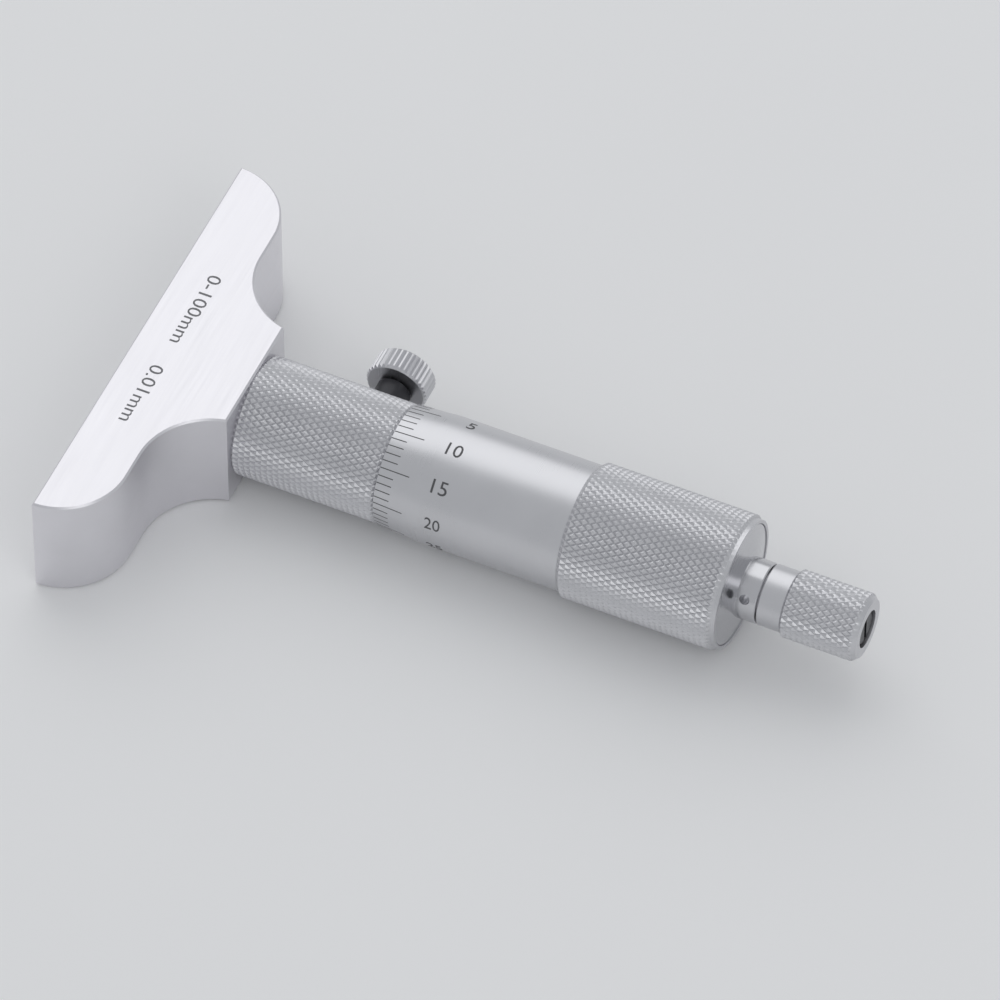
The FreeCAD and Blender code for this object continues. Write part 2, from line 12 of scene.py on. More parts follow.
import bmesh
import bpy
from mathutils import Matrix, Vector


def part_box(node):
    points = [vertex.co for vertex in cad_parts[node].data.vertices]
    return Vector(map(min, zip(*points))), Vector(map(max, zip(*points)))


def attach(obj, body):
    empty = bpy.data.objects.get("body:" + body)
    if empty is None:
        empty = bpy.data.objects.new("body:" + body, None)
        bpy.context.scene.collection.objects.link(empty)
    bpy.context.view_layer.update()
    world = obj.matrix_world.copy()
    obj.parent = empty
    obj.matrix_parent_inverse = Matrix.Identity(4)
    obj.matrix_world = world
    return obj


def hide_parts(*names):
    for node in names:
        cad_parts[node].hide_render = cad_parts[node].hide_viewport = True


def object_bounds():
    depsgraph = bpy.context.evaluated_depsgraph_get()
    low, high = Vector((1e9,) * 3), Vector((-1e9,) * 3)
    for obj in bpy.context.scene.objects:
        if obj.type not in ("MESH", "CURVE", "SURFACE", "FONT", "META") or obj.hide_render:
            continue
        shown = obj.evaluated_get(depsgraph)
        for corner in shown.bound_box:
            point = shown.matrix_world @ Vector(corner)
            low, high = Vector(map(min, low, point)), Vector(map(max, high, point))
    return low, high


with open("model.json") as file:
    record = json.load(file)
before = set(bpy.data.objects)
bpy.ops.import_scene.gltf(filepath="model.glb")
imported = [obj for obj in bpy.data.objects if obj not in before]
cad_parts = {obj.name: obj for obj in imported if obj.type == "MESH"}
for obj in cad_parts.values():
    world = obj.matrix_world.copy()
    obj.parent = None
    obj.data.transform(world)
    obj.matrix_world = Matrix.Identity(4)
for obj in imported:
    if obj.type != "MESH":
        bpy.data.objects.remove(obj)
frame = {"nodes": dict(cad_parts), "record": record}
solid_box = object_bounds()
MM = 0.001
TOUCHING = 0.005 * MM
print("parts:", ", ".join(sorted(frame["nodes"])))
print("box of the solids, mm:", [[round(value / MM, 2) for value in corner] for corner in solid_box])

# %% [markdown]
# ## The camera
#
# The view is from above the open side of the base, far away through a long lens, so that the long barrel
# hardly tapers. Placing the camera first keeps every later choice honest: what can't be seen from here, or
# from the other sides, isn't worth modelling.

# %% Place the camera
EYE = Vector((0.4169, -0.8038, 1.0789))
LENS = 385

middle = (Vector(solid_box[0]) + Vector(solid_box[1])) / 2
camera_data = bpy.data.cameras.new("camera")
camera_data.lens = LENS
camera_data.clip_end = 10
camera = bpy.data.objects.new("camera", camera_data)
camera.location = EYE
camera.rotation_euler = (middle - EYE).to_track_quat("-Z", "Y").to_euler()
bpy.context.collection.objects.link(camera)
bpy.context.scene.camera = camera
print("camera to middle, mm:", round((middle - EYE).length / MM))

# %% [markdown]
# ## Helpers for node trees
#
# Geometry and shader trees are both built from the same three moves: declare a socket, add a node with its
# inputs filled in, and combine two values with arithmetic.


# %% Node helpers
def add_socket(tree, name, kind, default=None, out=False):
    """Declare one named input or output of a tree."""
    side = "OUTPUT" if out else "INPUT"
    socket = tree.interface.new_socket(name=name, in_out=side, socket_type=f"NodeSocket{kind}")
    if default is not None:
        socket.default_value = default


def add_node(tree, kind, inputs=None, **settings):
    """Add a node; each input is given a plain value or another node's output."""
    node = tree.nodes.new(kind)
    node.location = (180 * (len(tree.nodes) % 12), -260 * (len(tree.nodes) // 12))
    for name, value in settings.items():
        setattr(node, name, value)
    for name, value in (inputs or {}).items():
        if isinstance(value, bpy.types.NodeSocket):
            tree.links.new(value, node.inputs[name])
        else:
            node.inputs[name].default_value = value
    return node


def calc(tree, operation, *values):
    """Arithmetic on values or outputs, for example calc(tree, "ADD", a, 2.0)."""
    inputs = dict(enumerate(values))
    return add_node(tree, "ShaderNodeMath", inputs, operation=operation).outputs[0]

# %% [markdown]
# ## Finishes
#
# Turned steel carries fine rings left by the tool, and ground steel carries fine straight lines left by the
# wheel. Both are the same idea: noise that is stretched until only one direction is left. The two shader
# groups below put out that noise as a value, and each material decides how much of it goes into its
# roughness and its bump. A third group is the faint, cloudy film that handling leaves on bare metal.


# %% Shader groups for lathe rings, grinding lines and handling film
def value_group(name, sizes):
    """Start a shader group with named size inputs and one output called Value."""
    group = bpy.data.node_groups.new(name, "ShaderNodeTree")
    for size, default in sizes.items():
        add_socket(group, size, "Float", default)
    add_socket(group, "Value", "Float", out=True)
    return group, group.nodes.new("NodeGroupInput").outputs, group.nodes.new("NodeGroupOutput").inputs


def object_place(tree):
    return add_node(tree, "ShaderNodeTexCoord").outputs["Object"]


def make_ring_group():
    """Fine rings round the X axis, as a lathe tool leaves them."""
    group, given, out = value_group("lathe_rings", {"Pitch": 0.00006})
    parts = add_node(group, "ShaderNodeSeparateXYZ", {0: object_place(group)})
    along = calc(group, "DIVIDE", parts.outputs["X"], given["Pitch"])
    noise = add_node(
        group, "ShaderNodeTexNoise", {"W": along, "Scale": 1.0, "Detail": 2.0}, noise_dimensions="1D"
    )
    group.links.new(noise.outputs["Fac"], out["Value"])
    return group


def make_line_group():
    """Fine lines along Y, as a grinding wheel leaves them on a flat face."""
    group, given, out = value_group("grinding_lines", {"Pitch": 0.0001, "Stretch": 60.0})
    parts = add_node(group, "ShaderNodeSeparateXYZ", {0: object_place(group)})
    across = calc(group, "DIVIDE", parts.outputs["X"], given["Pitch"])
    length = calc(group, "MULTIPLY", given["Pitch"], given["Stretch"])
    along = calc(group, "DIVIDE", parts.outputs["Y"], length)
    height = calc(group, "DIVIDE", parts.outputs["Z"], given["Pitch"])
    place = add_node(group, "ShaderNodeCombineXYZ", {"X": across, "Y": along, "Z": height})
    noise = add_node(group, "ShaderNodeTexNoise", {"Vector": place.outputs[0], "Scale": 1.0, "Detail": 2.0})
    group.links.new(noise.outputs["Fac"], out["Value"])
    return group


def make_film_group():
    """Soft clouds a few millimetres across, for the film that fingers leave."""
    group, given, out = value_group("handling_film", {"Size": 0.006})
    scale = calc(group, "DIVIDE", 1.0, given["Size"])
    noise = add_node(
        group, "ShaderNodeTexNoise", {"Vector": object_place(group), "Scale": scale, "Detail": 3.0}
    )
    group.links.new(noise.outputs["Fac"], out["Value"])
    return group


ring_group = make_ring_group()
line_group = make_line_group()
film_group = make_film_group()
print("shader groups:", ring_group.name, line_group.name, film_group.name)

# %% [markdown]
# ## Metals
#
# Every metal here is the same recipe with its own numbers: a colour that shifts slightly with the film, a
# roughness that shifts with both the film and the tool marks, and a very shallow bump from the tool marks.
# The satin chrome of the barrel is rougher than the polished ratchet stem, and the base's ground faces have
# straight lines instead of rings.


# %% Metal materials
def place_group(tree, group, **sizes):
    node = add_node(tree, "ShaderNodeGroup", node_tree=group)
    for name, value in sizes.items():
        node.inputs[name].default_value = value
    return node.outputs["Value"]


def spread(tree, value, low, high):
    """Stretch a noise value, which stays mostly between 0.3 and 0.7, to run from low to high."""
    limits = {"From Min": 0.3, "From Max": 0.7, "To Min": low, "To Max": high}
    return add_node(tree, "ShaderNodeMapRange", {"Value": value, **limits}).outputs["Result"]


FILM_SHADE = 0.04
MARK_BUMP = 0.05


def make_metal(name, colour, roughness, marks, mark_share=0.06, metallic=1.0):
    """A metal whose tool marks come from a shader group; marks is (group, sizes)."""
    material = bpy.data.materials.new(name)
    material.use_nodes = True
    tree = material.node_tree
    shader = tree.nodes["Principled BSDF"]
    mark_group, mark_sizes = marks
    lines = place_group(tree, mark_group, **mark_sizes)
    clouds = place_group(tree, film_group)
    darker = tuple(channel * (1 - FILM_SHADE) for channel in colour) + (1.0,)
    mixed = add_node(tree, "ShaderNodeMix", {"Factor": spread(tree, clouds, 0.0, 1.0)}, data_type="RGBA")
    mixed.inputs["A"].default_value = darker
    mixed.inputs["B"].default_value = tuple(colour) + (1.0,)
    tree.links.new(mixed.outputs["Result"], shader.inputs["Base Color"])
    film_part = spread(tree, clouds, roughness * 0.94, roughness * 1.06)
    mark_part = spread(tree, lines, -mark_share, mark_share)
    tree.links.new(calc(tree, "ADD", film_part, mark_part), shader.inputs["Roughness"])
    relief = add_node(tree, "ShaderNodeBump", {"Height": lines, "Strength": MARK_BUMP, "Distance": 0.01 * MM})
    tree.links.new(relief.outputs["Normal"], shader.inputs["Normal"])
    shader.inputs["Metallic"].default_value = metallic
    return material


FINE_RINGS = (ring_group, {"Pitch": 0.00007})
COARSE_RINGS = (ring_group, {"Pitch": 0.00012})
GRINDING = (line_group, {"Pitch": 0.00012, "Stretch": 80.0})

ground_steel = make_metal("ground_steel", (0.80, 0.79, 0.82), 0.38, GRINDING)
satin_chrome = make_metal("satin_chrome", (0.66, 0.66, 0.68), 0.34, FINE_RINGS)
polished_steel = make_metal("polished_steel", (0.62, 0.62, 0.64), 0.20, FINE_RINGS, mark_share=0.04)
spring_wire = make_metal("spring_wire", (0.42, 0.42, 0.44), 0.35, COARSE_RINGS)
# Near-black, partly metallic steel for the parts in the black_steel slot: the lock's bush and the ratchet
# screw.
near_black_steel = make_metal("near_black_steel", (0.045, 0.045, 0.05), 0.35, FINE_RINGS, metallic=0.6)
turned_brass = make_metal("turned_brass", (0.78, 0.57, 0.25), 0.28, FINE_RINGS)
print("shiniest metal:", polished_steel.name)

# %% [markdown]
# The scales and the inscription are engraved and filled with grey lacquer, so they need a dull, slightly
# mottled finish instead of a metal.


# %% Engraving lacquer
def make_lacquer(name, colour):
    material = bpy.data.materials.new(name)
    material.use_nodes = True
    tree = material.node_tree
    shader = tree.nodes["Principled BSDF"]
    clouds = place_group(tree, film_group, Size=0.0004)
    mixed = add_node(tree, "ShaderNodeMix", {"Factor": spread(tree, clouds, 0.0, 1.0)}, data_type="RGBA")
    mixed.inputs["A"].default_value = tuple(channel * 0.75 for channel in colour) + (1.0,)
    mixed.inputs["B"].default_value = tuple(colour) + (1.0,)
    tree.links.new(mixed.outputs["Result"], shader.inputs["Base Color"])
    tree.links.new(spread(tree, clouds, 0.45, 0.65), shader.inputs["Roughness"])
    return material


scale_lacquer = make_lacquer("scale_lacquer", (0.10, 0.10, 0.105))
base_lacquer = make_lacquer("base_lacquer", (0.20, 0.20, 0.21))
print("lacquers:", scale_lacquer.name, base_lacquer.name)

# %% [markdown]
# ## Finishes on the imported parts
#
# The record names a material slot for every part. A part whose shape is already right keeps its mesh, and
# only its material slot is filled with the finish that belongs to that slot.

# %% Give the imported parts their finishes
SLOT_FINISH = {
    "hardened_steel": ground_steel,
    "satin_chrome": satin_chrome,
    "bright_steel": polished_steel,
    "spring_steel": spring_wire,
    "black_steel": near_black_steel,
    "brass": turned_brass,
}
slot_of = {part["node"]: part["material_slot"] for part in frame["record"]["subparts"]}
body_of = {node: body for body, nodes in frame["record"]["behaviour"]["bodies"].items() for node in nodes}
for name, node in frame["nodes"].items():
    for slot in node.material_slots:
        slot.material = SLOT_FINISH[slot_of[name]]
print("finished parts:", len(slot_of))

# %% [markdown]
# ## Reading a turned part back
#
# The collar, the thimble and the ratchet knob are turned parts whose grips are knurled. A knurl is cut into
# the turned blank, so the honest way is to turn the blank again from its own outline and roll the diamonds
# into it. The outline needn't be typed in again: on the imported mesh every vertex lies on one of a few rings
# round the X axis, and the edges that join two rings are the outline.


# %% Read the outline of a turned part
FULL_RING = 24


def turned_outline(node_name):
    """The closed outline of a turned part as (station, radius) pairs, in order round the outline."""
    mesh = frame["nodes"][node_name].data
    rings, ring_of = [], []
    for vertex in mesh.vertices:
        place = Vector((vertex.co.x, math.hypot(vertex.co.y, vertex.co.z)))
        match = next((i for i, ring in enumerate(rings) if (ring - place).length < TOUCHING), None)
        if match is None:
            match = len(rings)
            rings.append(place)
        ring_of.append(match)
    full = {i for i in range(len(rings)) if ring_of.count(i) >= FULL_RING}
    joins = {i: set() for i in full}
    for edge in mesh.edges:
        a, b = (ring_of[v] for v in edge.vertices)
        if a != b and a in full and b in full:
            joins[a].add(b)
            joins[b].add(a)
    start = min(full, key=lambda i: (rings[i].x, rings[i].y))
    order = [start]
    while True:
        ahead = [i for i in joins[order[-1]] if i not in order]
        if not ahead:
            break
        order.append(max(ahead, key=lambda i: rings[i].y) if len(order) == 1 else ahead[0])
    return [tuple(rings[i]) for i in order]


thimble_outline = turned_outline("thimble")
collar_outline = turned_outline("grip_collar")
knob_outline = turned_outline("ratchet_knob")
print("thimble outline, mm:", [(round(x / MM, 2), round(r / MM, 2)) for x, r in thimble_outline])

# %% [markdown]
# ## Knurls
#
# A diamond knurl is two sets of slanting grooves that cross. Where two grooves cross, the metal is deepest,
# and between the crossings it stands up as a small pyramid. A tree of Geometry Nodes turns the whole part:
# a grid gets one row for each point of the outline and one column for each step round the axis, and
# each point moves to its place on the part. On rows marked as knurled, the point also sinks by a share of
# the groove depth, worked out from how far it is from the nearest groove of either set. Splitting each
# quad along its shorter diagonal puts an edge exactly in the bottom of every groove.


# %% The tree that turns and knurls a part
def sample_row(tree, outline, name, row):
    """Read one of the outline's own values at a row number."""
    kind = "FLOAT"
    value = add_node(tree, "GeometryNodeInputNamedAttribute", {"Name": name}, data_type=kind)
    inputs = {"Geometry": outline, "Value": value.outputs[0], "Index": row}
    return add_node(tree, "GeometryNodeSampleIndex", inputs, data_type=kind).outputs[0]


def ridge(tree, turns):
    """0 in a groove and 1 half-way to the next, for a count of grooves passed."""
    return calc(tree, "MULTIPLY", calc(tree, "PINGPONG", turns, 0.5), 2.0)


def make_knurl_tree():
    tree = bpy.data.node_groups.new("turn_and_knurl", "GeometryNodeTree")
    add_socket(tree, "Outline", "Geometry")
    add_socket(tree, "Diamonds Round", "Int", 60)
    add_socket(tree, "Steps", "Int", 6)
    add_socket(tree, "Depth", "Float", 0.0002)
    add_socket(tree, "Land", "Float", 0.8)
    add_socket(tree, "Finish", "Material")
    add_socket(tree, "Part", "Geometry", out=True)
    given = tree.nodes.new("NodeGroupInput").outputs
    rows = add_node(tree, "GeometryNodeAttributeDomainSize", {0: given["Outline"]}).outputs["Point Count"]
    columns = calc(tree, "MULTIPLY", given["Diamonds Round"], given["Steps"])
    across = calc(tree, "ADD", columns, 1.0)
    grid = add_node(
        tree, "GeometryNodeMeshGrid", {"Vertices X": calc(tree, "ADD", rows, 1.0), "Vertices Y": across}
    )
    index = add_node(tree, "GeometryNodeInputIndex").outputs[0]
    row = calc(tree, "FLOOR", calc(tree, "DIVIDE", calc(tree, "ADD", index, 0.5), across))
    column = calc(tree, "SUBTRACT", index, calc(tree, "MULTIPLY", row, across))
    row = calc(tree, "MODULO", row, rows)
    station = sample_row(tree, given["Outline"], "station", row)
    radius = sample_row(tree, given["Outline"], "radius", row)
    cut = sample_row(tree, given["Outline"], "cut", row)
    passed = calc(tree, "DIVIDE", column, given["Steps"])
    slant = sample_row(tree, given["Outline"], "slant", row)
    one_set = ridge(tree, calc(tree, "ADD", passed, slant))
    other_set = ridge(tree, calc(tree, "SUBTRACT", passed, slant))
    height = calc(tree, "MINIMUM", calc(tree, "MINIMUM", one_set, other_set), given["Land"])
    sunk = calc(tree, "SUBTRACT", 1.0, calc(tree, "DIVIDE", height, given["Land"]))
    groove = calc(tree, "MULTIPLY", calc(tree, "MULTIPLY", sunk, cut), given["Depth"])
    reach = calc(tree, "SUBTRACT", radius, groove)
    angle = calc(tree, "MULTIPLY", calc(tree, "DIVIDE", column, columns), math.tau)
    place = add_node(
        tree,
        "ShaderNodeCombineXYZ",
        {
            "X": station,
            "Y": calc(tree, "MULTIPLY", reach, calc(tree, "COSINE", angle)),
            "Z": calc(tree, "MULTIPLY", reach, calc(tree, "SINE", angle)),
        },
    )
    on_grid = {"Geometry": grid.outputs["Mesh"], "Position": place.outputs[0]}
    turned = add_node(tree, "GeometryNodeSetPosition", on_grid)
    seams = {"Geometry": turned.outputs[0], "Distance": 0.001 * MM}
    closed = add_node(tree, "GeometryNodeMergeByDistance", seams)
    split = add_node(tree, "GeometryNodeTriangulate", {0: closed.outputs[0]}, quad_method="SHORTEST_DIAGONAL")
    real = add_node(tree, "GeometryNodeRealizeInstances", {0: split.outputs[0]})
    finished = add_node(tree, "GeometryNodeSetMaterial", {0: real.outputs[0], "Material": given["Finish"]})
    tree.links.new(finished.outputs[0], tree.nodes.new("NodeGroupOutput").inputs["Part"])
    return tree


knurl_tree = make_knurl_tree()
print("knurl tree:", len(knurl_tree.nodes), "nodes")

# %% [markdown]
# A modifier's inputs are set by each socket's identifier, so one small helper looks the identifiers up by
# name. It then evaluates the object, keeps the result as a plain mesh, and drops the modifier. Normals are
# made consistent, and edges sharper than a given angle are kept crisp.


# %% Run a tree and keep its result
def run_tree(name, mesh, tree, inputs, crisp=30):
    """Evaluate a Geometry Nodes tree on a mesh and return the result as a plain object."""
    source = bpy.data.objects.new(name + "_source", mesh)
    bpy.context.collection.objects.link(source)
    modifier = source.modifiers.new("tree", "NODES")
    modifier.node_group = tree
    sockets = {item.name: item.identifier for item in tree.interface.items_tree if item.in_out == "INPUT"}
    for label, value in inputs.items():
        modifier[sockets[label]] = value
    evaluated = source.evaluated_get(bpy.context.evaluated_depsgraph_get())
    result = bpy.data.meshes.new_from_object(evaluated)
    bpy.data.objects.remove(source)
    result.name = name
    return finish_mesh(name, result, crisp)


def finish_mesh(name, mesh, crisp=30):
    """Point the faces outwards, shade smoothly with crisp edges, and make the object."""
    shape = bmesh.new()
    shape.from_mesh(mesh)
    bmesh.ops.recalc_face_normals(shape, faces=shape.faces)
    shape.to_mesh(mesh)
    shape.free()
    mesh.shade_smooth()
    mesh.set_sharp_from_angle(angle=math.radians(crisp))
    piece = bpy.data.objects.new(name, mesh)
    bpy.context.collection.objects.link(piece)
    return piece


# %% [markdown]
# The outline that goes into the tree is a string of points with four values each: station, radius, whether
# the row is knurled, and how many diamonds lie behind it. On all three parts the knurl is the widest
# stretch of the outline. It gets rows at an even spacing that divides it into whole diamonds, so that the
# pattern starts and ends cleanly, and its tops stay at the blank's own radius.


# %% Turn and knurl one part
KNURL_STEPS = 6
DIAMOND_LAND = 2 / 3


def knurl_part(node_name, outline, diamonds_round, diamonds_long, depth, finish):
    """Turn a part again from its outline, with diamonds rolled into its widest stretch."""
    widest = max(radius for _, radius in outline)
    start, end = [i for i, (_, radius) in enumerate(outline) if widest - radius < TOUCHING]
    first, last = outline[start][0], outline[end][0]
    count = diamonds_long * KNURL_STEPS
    rows = [(x, r, 0, 0) for x, r in outline[:start]]
    rows += [(first + (last - first) * k / count, widest, 1, k / KNURL_STEPS) for k in range(count + 1)]
    rows += [(x, r, 0, 0) for x, r in outline[end + 1 :]]
    mesh = bpy.data.meshes.new(node_name + "_outline")
    mesh.from_pydata([(row[0], 0, row[1]) for row in rows], [], [])
    for column, label in enumerate(("station", "radius", "cut", "slant")):
        layer = mesh.attributes.new(label, "FLOAT", "POINT")
        layer.data.foreach_set("value", [row[column] for row in rows])
    sizes = {"Diamonds Round": diamonds_round, "Steps": KNURL_STEPS, "Depth": depth, "Land": DIAMOND_LAND}
    piece = run_tree(node_name + "_knurled", mesh, knurl_tree, {**sizes, "Finish": finish})
    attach(piece, body_of[node_name])
    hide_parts(node_name)
    pitch = (last - first) / diamonds_long
    width = math.tau * widest / diamonds_round
    print(node_name, "diamond, mm:", round(width / MM, 2), "by", round(pitch / MM, 2))
    return piece


knurl_part("thimble", thimble_outline, 64, 13, 0.22 * MM, satin_chrome)
collar = knurl_part("grip_collar", collar_outline, 56, 12, 0.22 * MM, satin_chrome)
knurl_part("ratchet_knob", knob_outline, 32, 6, 0.2 * MM, satin_chrome)

# %% [markdown]
# The collar is drilled from the side for the lock's bush. Turning can't make that hole, so it is cut
# afterwards with a round plug of the bush's own size, which also leaves room for the brass pad to travel.


# %% Drill the collar for the lock
def drill_collar(piece, low, high):
    """Cut a round hole along Y through one wall, as wide as the box given by its corners."""
    shape = bmesh.new()
    radius = (high[0] - low[0]) / 2
    length = 2 * (high[1] - low[1])
    bmesh.ops.create_cone(shape, cap_ends=True, segments=96, radius1=radius, radius2=radius, depth=length)
    for vertex in shape.verts:
        x, y, z = vertex.co
        vertex.co = ((low[0] + high[0]) / 2 + x, (low[1] + high[1]) / 2 - z, y)
    plug_mesh = bpy.data.meshes.new("lock_plug")
    shape.to_mesh(plug_mesh)
    shape.free()
    plug = bpy.data.objects.new("lock_plug", plug_mesh)
    bpy.context.collection.objects.link(plug)
    cut = piece.modifiers.new("lock_hole", "BOOLEAN")
    cut.operation = "DIFFERENCE"
    cut.solver = "EXACT"
    cut.object = plug
    evaluated = piece.evaluated_get(bpy.context.evaluated_depsgraph_get())
    drilled = bpy.data.meshes.new_from_object(evaluated)
    piece.modifiers.remove(cut)
    bpy.data.objects.remove(plug)
    shape = bmesh.new()
    shape.from_mesh(drilled)
    bmesh.ops.dissolve_degenerate(shape, dist=0.001 * MM, edges=shape.edges)
    shape.to_mesh(drilled)
    shape.free()
    drilled.set_sharp_from_angle(angle=math.radians(30))
    piece.data = drilled
    print("collar drilled, faces:", len(drilled.polygons))


drill_collar(collar, *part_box("lock_bush"))

# %% [markdown]
# ## Scales
#
# The thimble's bevel carries fifty divisions and the sleeve carries one mark for each half millimetre. Both
# are rulers wrapped round a turned surface, so they share two trees. The first wraps anything flat: X stays
# the station along the axis, Y becomes distance round the part, and Z becomes height above the
# surface. The second lays out a ruler of marks, with every fifth one long, and passes it to the first.


# %% The tree that wraps flat work round a part
def make_wrap_tree():
    tree = bpy.data.node_groups.new("wrap_round", "GeometryNodeTree")
    add_socket(tree, "Flat", "Geometry")
    add_socket(tree, "From", "Float")
    add_socket(tree, "Radius", "Float", 0.008)
    add_socket(tree, "Slope", "Float")
    add_socket(tree, "Zero", "Float")
    add_socket(tree, "Cuts", "Int", 2)
    add_socket(tree, "Finish", "Material")
    add_socket(tree, "Part", "Geometry", out=True)
    given = tree.nodes.new("NodeGroupInput").outputs
    split = add_node(tree, "GeometryNodeTriangulate", {0: given["Flat"]})
    fine = add_node(tree, "GeometryNodeSubdivideMesh", {0: split.outputs[0], "Level": given["Cuts"]})
    position = add_node(tree, "GeometryNodeInputPosition").outputs[0]
    flat = add_node(tree, "ShaderNodeSeparateXYZ", {0: position})
    run = calc(tree, "SUBTRACT", flat.outputs["X"], given["From"])
    surface = calc(tree, "ADD", given["Radius"], calc(tree, "MULTIPLY", run, given["Slope"]))
    reach = calc(tree, "ADD", surface, flat.outputs["Z"])
    angle = calc(tree, "SUBTRACT", given["Zero"], calc(tree, "DIVIDE", flat.outputs["Y"], given["Radius"]))
    place = add_node(
        tree,
        "ShaderNodeCombineXYZ",
        {
            "X": flat.outputs["X"],
            "Y": calc(tree, "MULTIPLY", reach, calc(tree, "COSINE", angle)),
            "Z": calc(tree, "MULTIPLY", reach, calc(tree, "SINE", angle)),
        },
    )
    on_surface = {"Geometry": fine.outputs[0], "Position": place.outputs[0]}
    wrapped = add_node(tree, "GeometryNodeSetPosition", on_surface)
    real = add_node(tree, "GeometryNodeRealizeInstances", {0: wrapped.outputs[0]})
    finished = add_node(tree, "GeometryNodeSetMaterial", {0: real.outputs[0], "Material": given["Finish"]})
    tree.links.new(finished.outputs[0], tree.nodes.new("NodeGroupOutput").inputs["Part"])
    return tree


wrap_tree = make_wrap_tree()
print("wrap tree:", len(wrap_tree.nodes), "nodes")


# %% The tree that lays out a ruler
def make_ruler_tree():
    tree = bpy.data.node_groups.new("ruler", "GeometryNodeTree")
    add_socket(tree, "Base", "Geometry")
    add_socket(tree, "Marks", "Int", 50)
    add_socket(tree, "Spacing", "Float", 0.001)
    add_socket(tree, "Every", "Int", 5)
    add_socket(tree, "Short", "Float", 0.002)
    add_socket(tree, "Long", "Float", 0.004)
    add_socket(tree, "Width", "Float", 0.00015)
    add_socket(tree, "Thickness", "Float", 0.00004)
    add_socket(tree, "Turn", "Float")
    add_socket(tree, "Start X", "Float")
    add_socket(tree, "Start Y", "Float")
    for name in ("From", "Radius", "Slope", "Zero"):
        add_socket(tree, name, "Float")
    add_socket(tree, "Finish", "Material")
    add_socket(tree, "Part", "Geometry", out=True)
    given = tree.nodes.new("NodeGroupInput").outputs
    spacing = add_node(tree, "ShaderNodeCombineXYZ", {"X": given["Spacing"]})
    line = add_node(tree, "GeometryNodeMeshLine", {"Count": given["Marks"], "Offset": spacing.outputs[0]})
    index = add_node(tree, "GeometryNodeInputIndex").outputs[0]
    is_long = calc(tree, "COMPARE", calc(tree, "MODULO", index, given["Every"]), 0.0, 0.5)
    extra = calc(tree, "MULTIPLY", calc(tree, "SUBTRACT", given["Long"], given["Short"]), is_long)
    length = calc(tree, "ADD", given["Short"], extra)
    shift = add_node(tree, "ShaderNodeCombineXYZ", {"Y": calc(tree, "MULTIPLY", length, 0.5)})
    shifted = {"Geometry": line.outputs[0], "Offset": shift.outputs[0]}
    points = add_node(tree, "GeometryNodeSetPosition", shifted)
    box = {"X": given["Width"], "Y": length, "Z": given["Thickness"]}
    size = add_node(tree, "ShaderNodeCombineXYZ", box)
    mark = add_node(tree, "GeometryNodeMeshCube", {"Size": (1.0, 1.0, 1.0), "Vertices Y": 5})
    marks = add_node(
        tree,
        "GeometryNodeInstanceOnPoints",
        {"Points": points.outputs[0], "Instance": mark.outputs[0], "Scale": size.outputs[0]},
    )
    real = add_node(tree, "GeometryNodeRealizeInstances", {0: marks.outputs[0]})
    turn = add_node(tree, "ShaderNodeCombineXYZ", {"Z": given["Turn"]})
    start = add_node(tree, "ShaderNodeCombineXYZ", {"X": given["Start X"], "Y": given["Start Y"]})
    laid = add_node(
        tree,
        "GeometryNodeTransform",
        {"Geometry": real.outputs[0], "Rotation": turn.outputs[0], "Translation": start.outputs[0]},
    )
    wrap = add_node(tree, "GeometryNodeGroup", node_tree=wrap_tree)
    tree.links.new(laid.outputs[0], wrap.inputs["Flat"])
    for name in ("From", "Radius", "Slope", "Zero", "Finish"):
        tree.links.new(given[name], wrap.inputs[name])
    wrap.inputs["Cuts"].default_value = 0
    tree.links.new(wrap.outputs[0], tree.nodes.new("NodeGroupOutput").inputs["Part"])
    return tree


ruler_tree = make_ruler_tree()
print("ruler tree:", len(ruler_tree.nodes), "nodes")

# %% [markdown]
# One turn of the thimble is half a millimetre, so fifty divisions are hundredths. The marks run up the
# bevel from its front edge. The part stands at 25.09 mm, which puts division nine at the datum line
# on top of the sleeve.

# %% Measure the bevel and the datum
DIVISIONS = 50
READING = 25.0885
FULL_TRAVEL = 25
DATUM = math.pi / 2

thimble_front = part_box("thimble")[0][0]
front_radius = max(r for x, r in thimble_outline if x - thimble_front < TOUCHING)
widest_radius = max(r for _, r in thimble_outline)
grip_index = next(i for i, (_, r) in enumerate(thimble_outline) if widest_radius - r < TOUCHING)
plain_radius = thimble_outline[grip_index - 1][1]
bevel_end = min(x for x, r in thimble_outline if abs(r - plain_radius) < TOUCHING)
bevel_slope = (plain_radius - front_radius) / (bevel_end - thimble_front)
division = math.tau / DIVISIONS
zero_angle = DATUM - (READING % 0.5) * 100 * division
print("bevel, mm:", round(front_radius / MM, 2), "to", round(plain_radius / MM, 2))
print("zero stands at", round(math.degrees(zero_angle), 1), "degrees")


# %% Lay one ruler round a part
def add_ruler(name, body, marks, spacing, every, short, long, turn, start, surface, zero):
    """A ruler of engraved marks; surface is (station, radius, slope) and start is a flat (x, y)."""
    station, radius, slope = surface
    sizes = {
        "Marks": marks,
        "Spacing": spacing,
        "Every": every,
        "Short": short,
        "Long": long,
        "Turn": turn,
        "Start X": start[0],
        "Start Y": start[1],
        "From": station,
        "Radius": radius,
        "Slope": slope,
        "Zero": zero,
        "Width": 0.13 * MM,
        "Thickness": 0.03 * MM,
        "Finish": scale_lacquer,
    }
    ruler = run_tree(name, bpy.data.meshes.new(name + "_base"), ruler_tree, sizes)
    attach(ruler, body)
    print(name, "marks:", marks)


add_ruler(
    "thimble_marks",
    "thimble",
    marks=DIVISIONS,
    spacing=division * front_radius,
    every=5,
    short=2.15 * MM,
    long=4.2 * MM,
    turn=-math.pi / 2,
    start=(thimble_front + 0.02 * MM, 0.0),
    surface=(thimble_front, front_radius, bevel_slope),
    zero=zero_angle,
)

